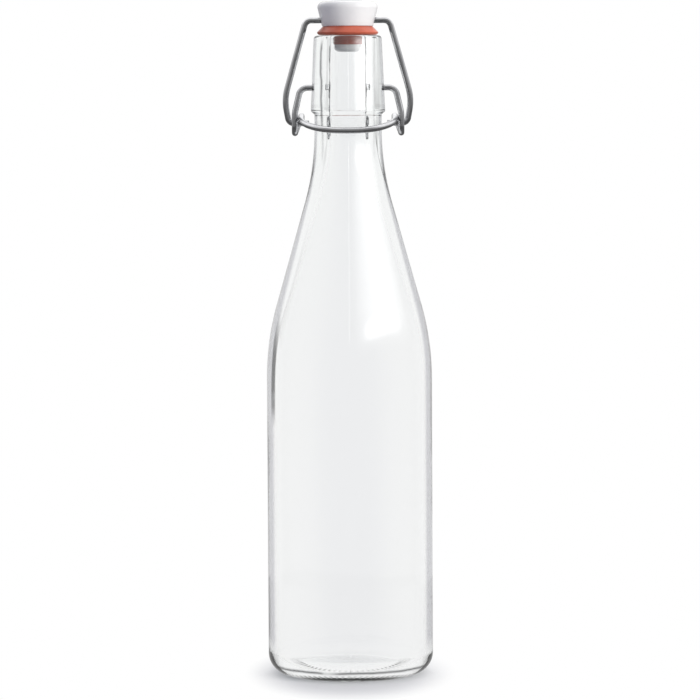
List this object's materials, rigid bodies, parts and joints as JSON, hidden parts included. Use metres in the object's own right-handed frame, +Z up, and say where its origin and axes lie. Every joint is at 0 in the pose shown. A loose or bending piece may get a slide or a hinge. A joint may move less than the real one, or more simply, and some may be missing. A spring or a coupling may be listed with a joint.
{
  "type": "swing top bottle",
  "caption": "Clear round glass bottle with a long sloped shoulder and thick collar, closed by a glazed stopper and rubber gasket on a hinged wire bail and lever.",
  "frame": {"origin": "middle of the base, on the plane that the bottle stands on", "axes": "+Z up along the bottle's axis, -Y towards the lever's pull ring, X along the lever's pivot"},
  "size_m": [0.07, 0.07, 0.2854],
  "materials": {
    "clear_glass": "clear, smooth, slightly wavy inside",
    "white_glaze": "glossy white glaze",
    "orange_rubber": "satin moulded rubber",
    "steel_wire": "drawn bright steel wire"
  },
  "bodies": {
    "bottle": {"glass_bottle": "clear_glass"},
    "lever": {"lever_wire": "steel_wire"},
    "bail": {"bail_wire": "steel_wire"},
    "closure": {"stopper": "white_glaze", "gasket": "orange_rubber"}
  },
  "joints": [
    {"name": "lever_swing", "type": "hinge", "parent": "bottle", "child": "lever", "pos_m": [0, 0, 0.2487], "axis": [-1, 0, 0], "range_deg": [0, 250]},
    {"name": "bail_swing", "type": "hinge", "parent": "lever", "child": "bail", "pos_m": [0, 0.00065, 0.2337], "axis": [-1, 0, 0], "range_deg": [-171.3, 0]},
    {"name": "stopper_tilt", "type": "hinge", "parent": "bail", "child": "closure", "pos_m": [0, 0, 0.27695], "axis": [-1, 0, 0], "range_deg": [-78.8, 0]}
  ],
  "couplings": [
    {"joint": "bail_swing", "follows": "lever_swing", "ratio": -0.685},
    {"joint": "stopper_tilt", "follows": "lever_swing", "ratio": -0.315}
  ]
}
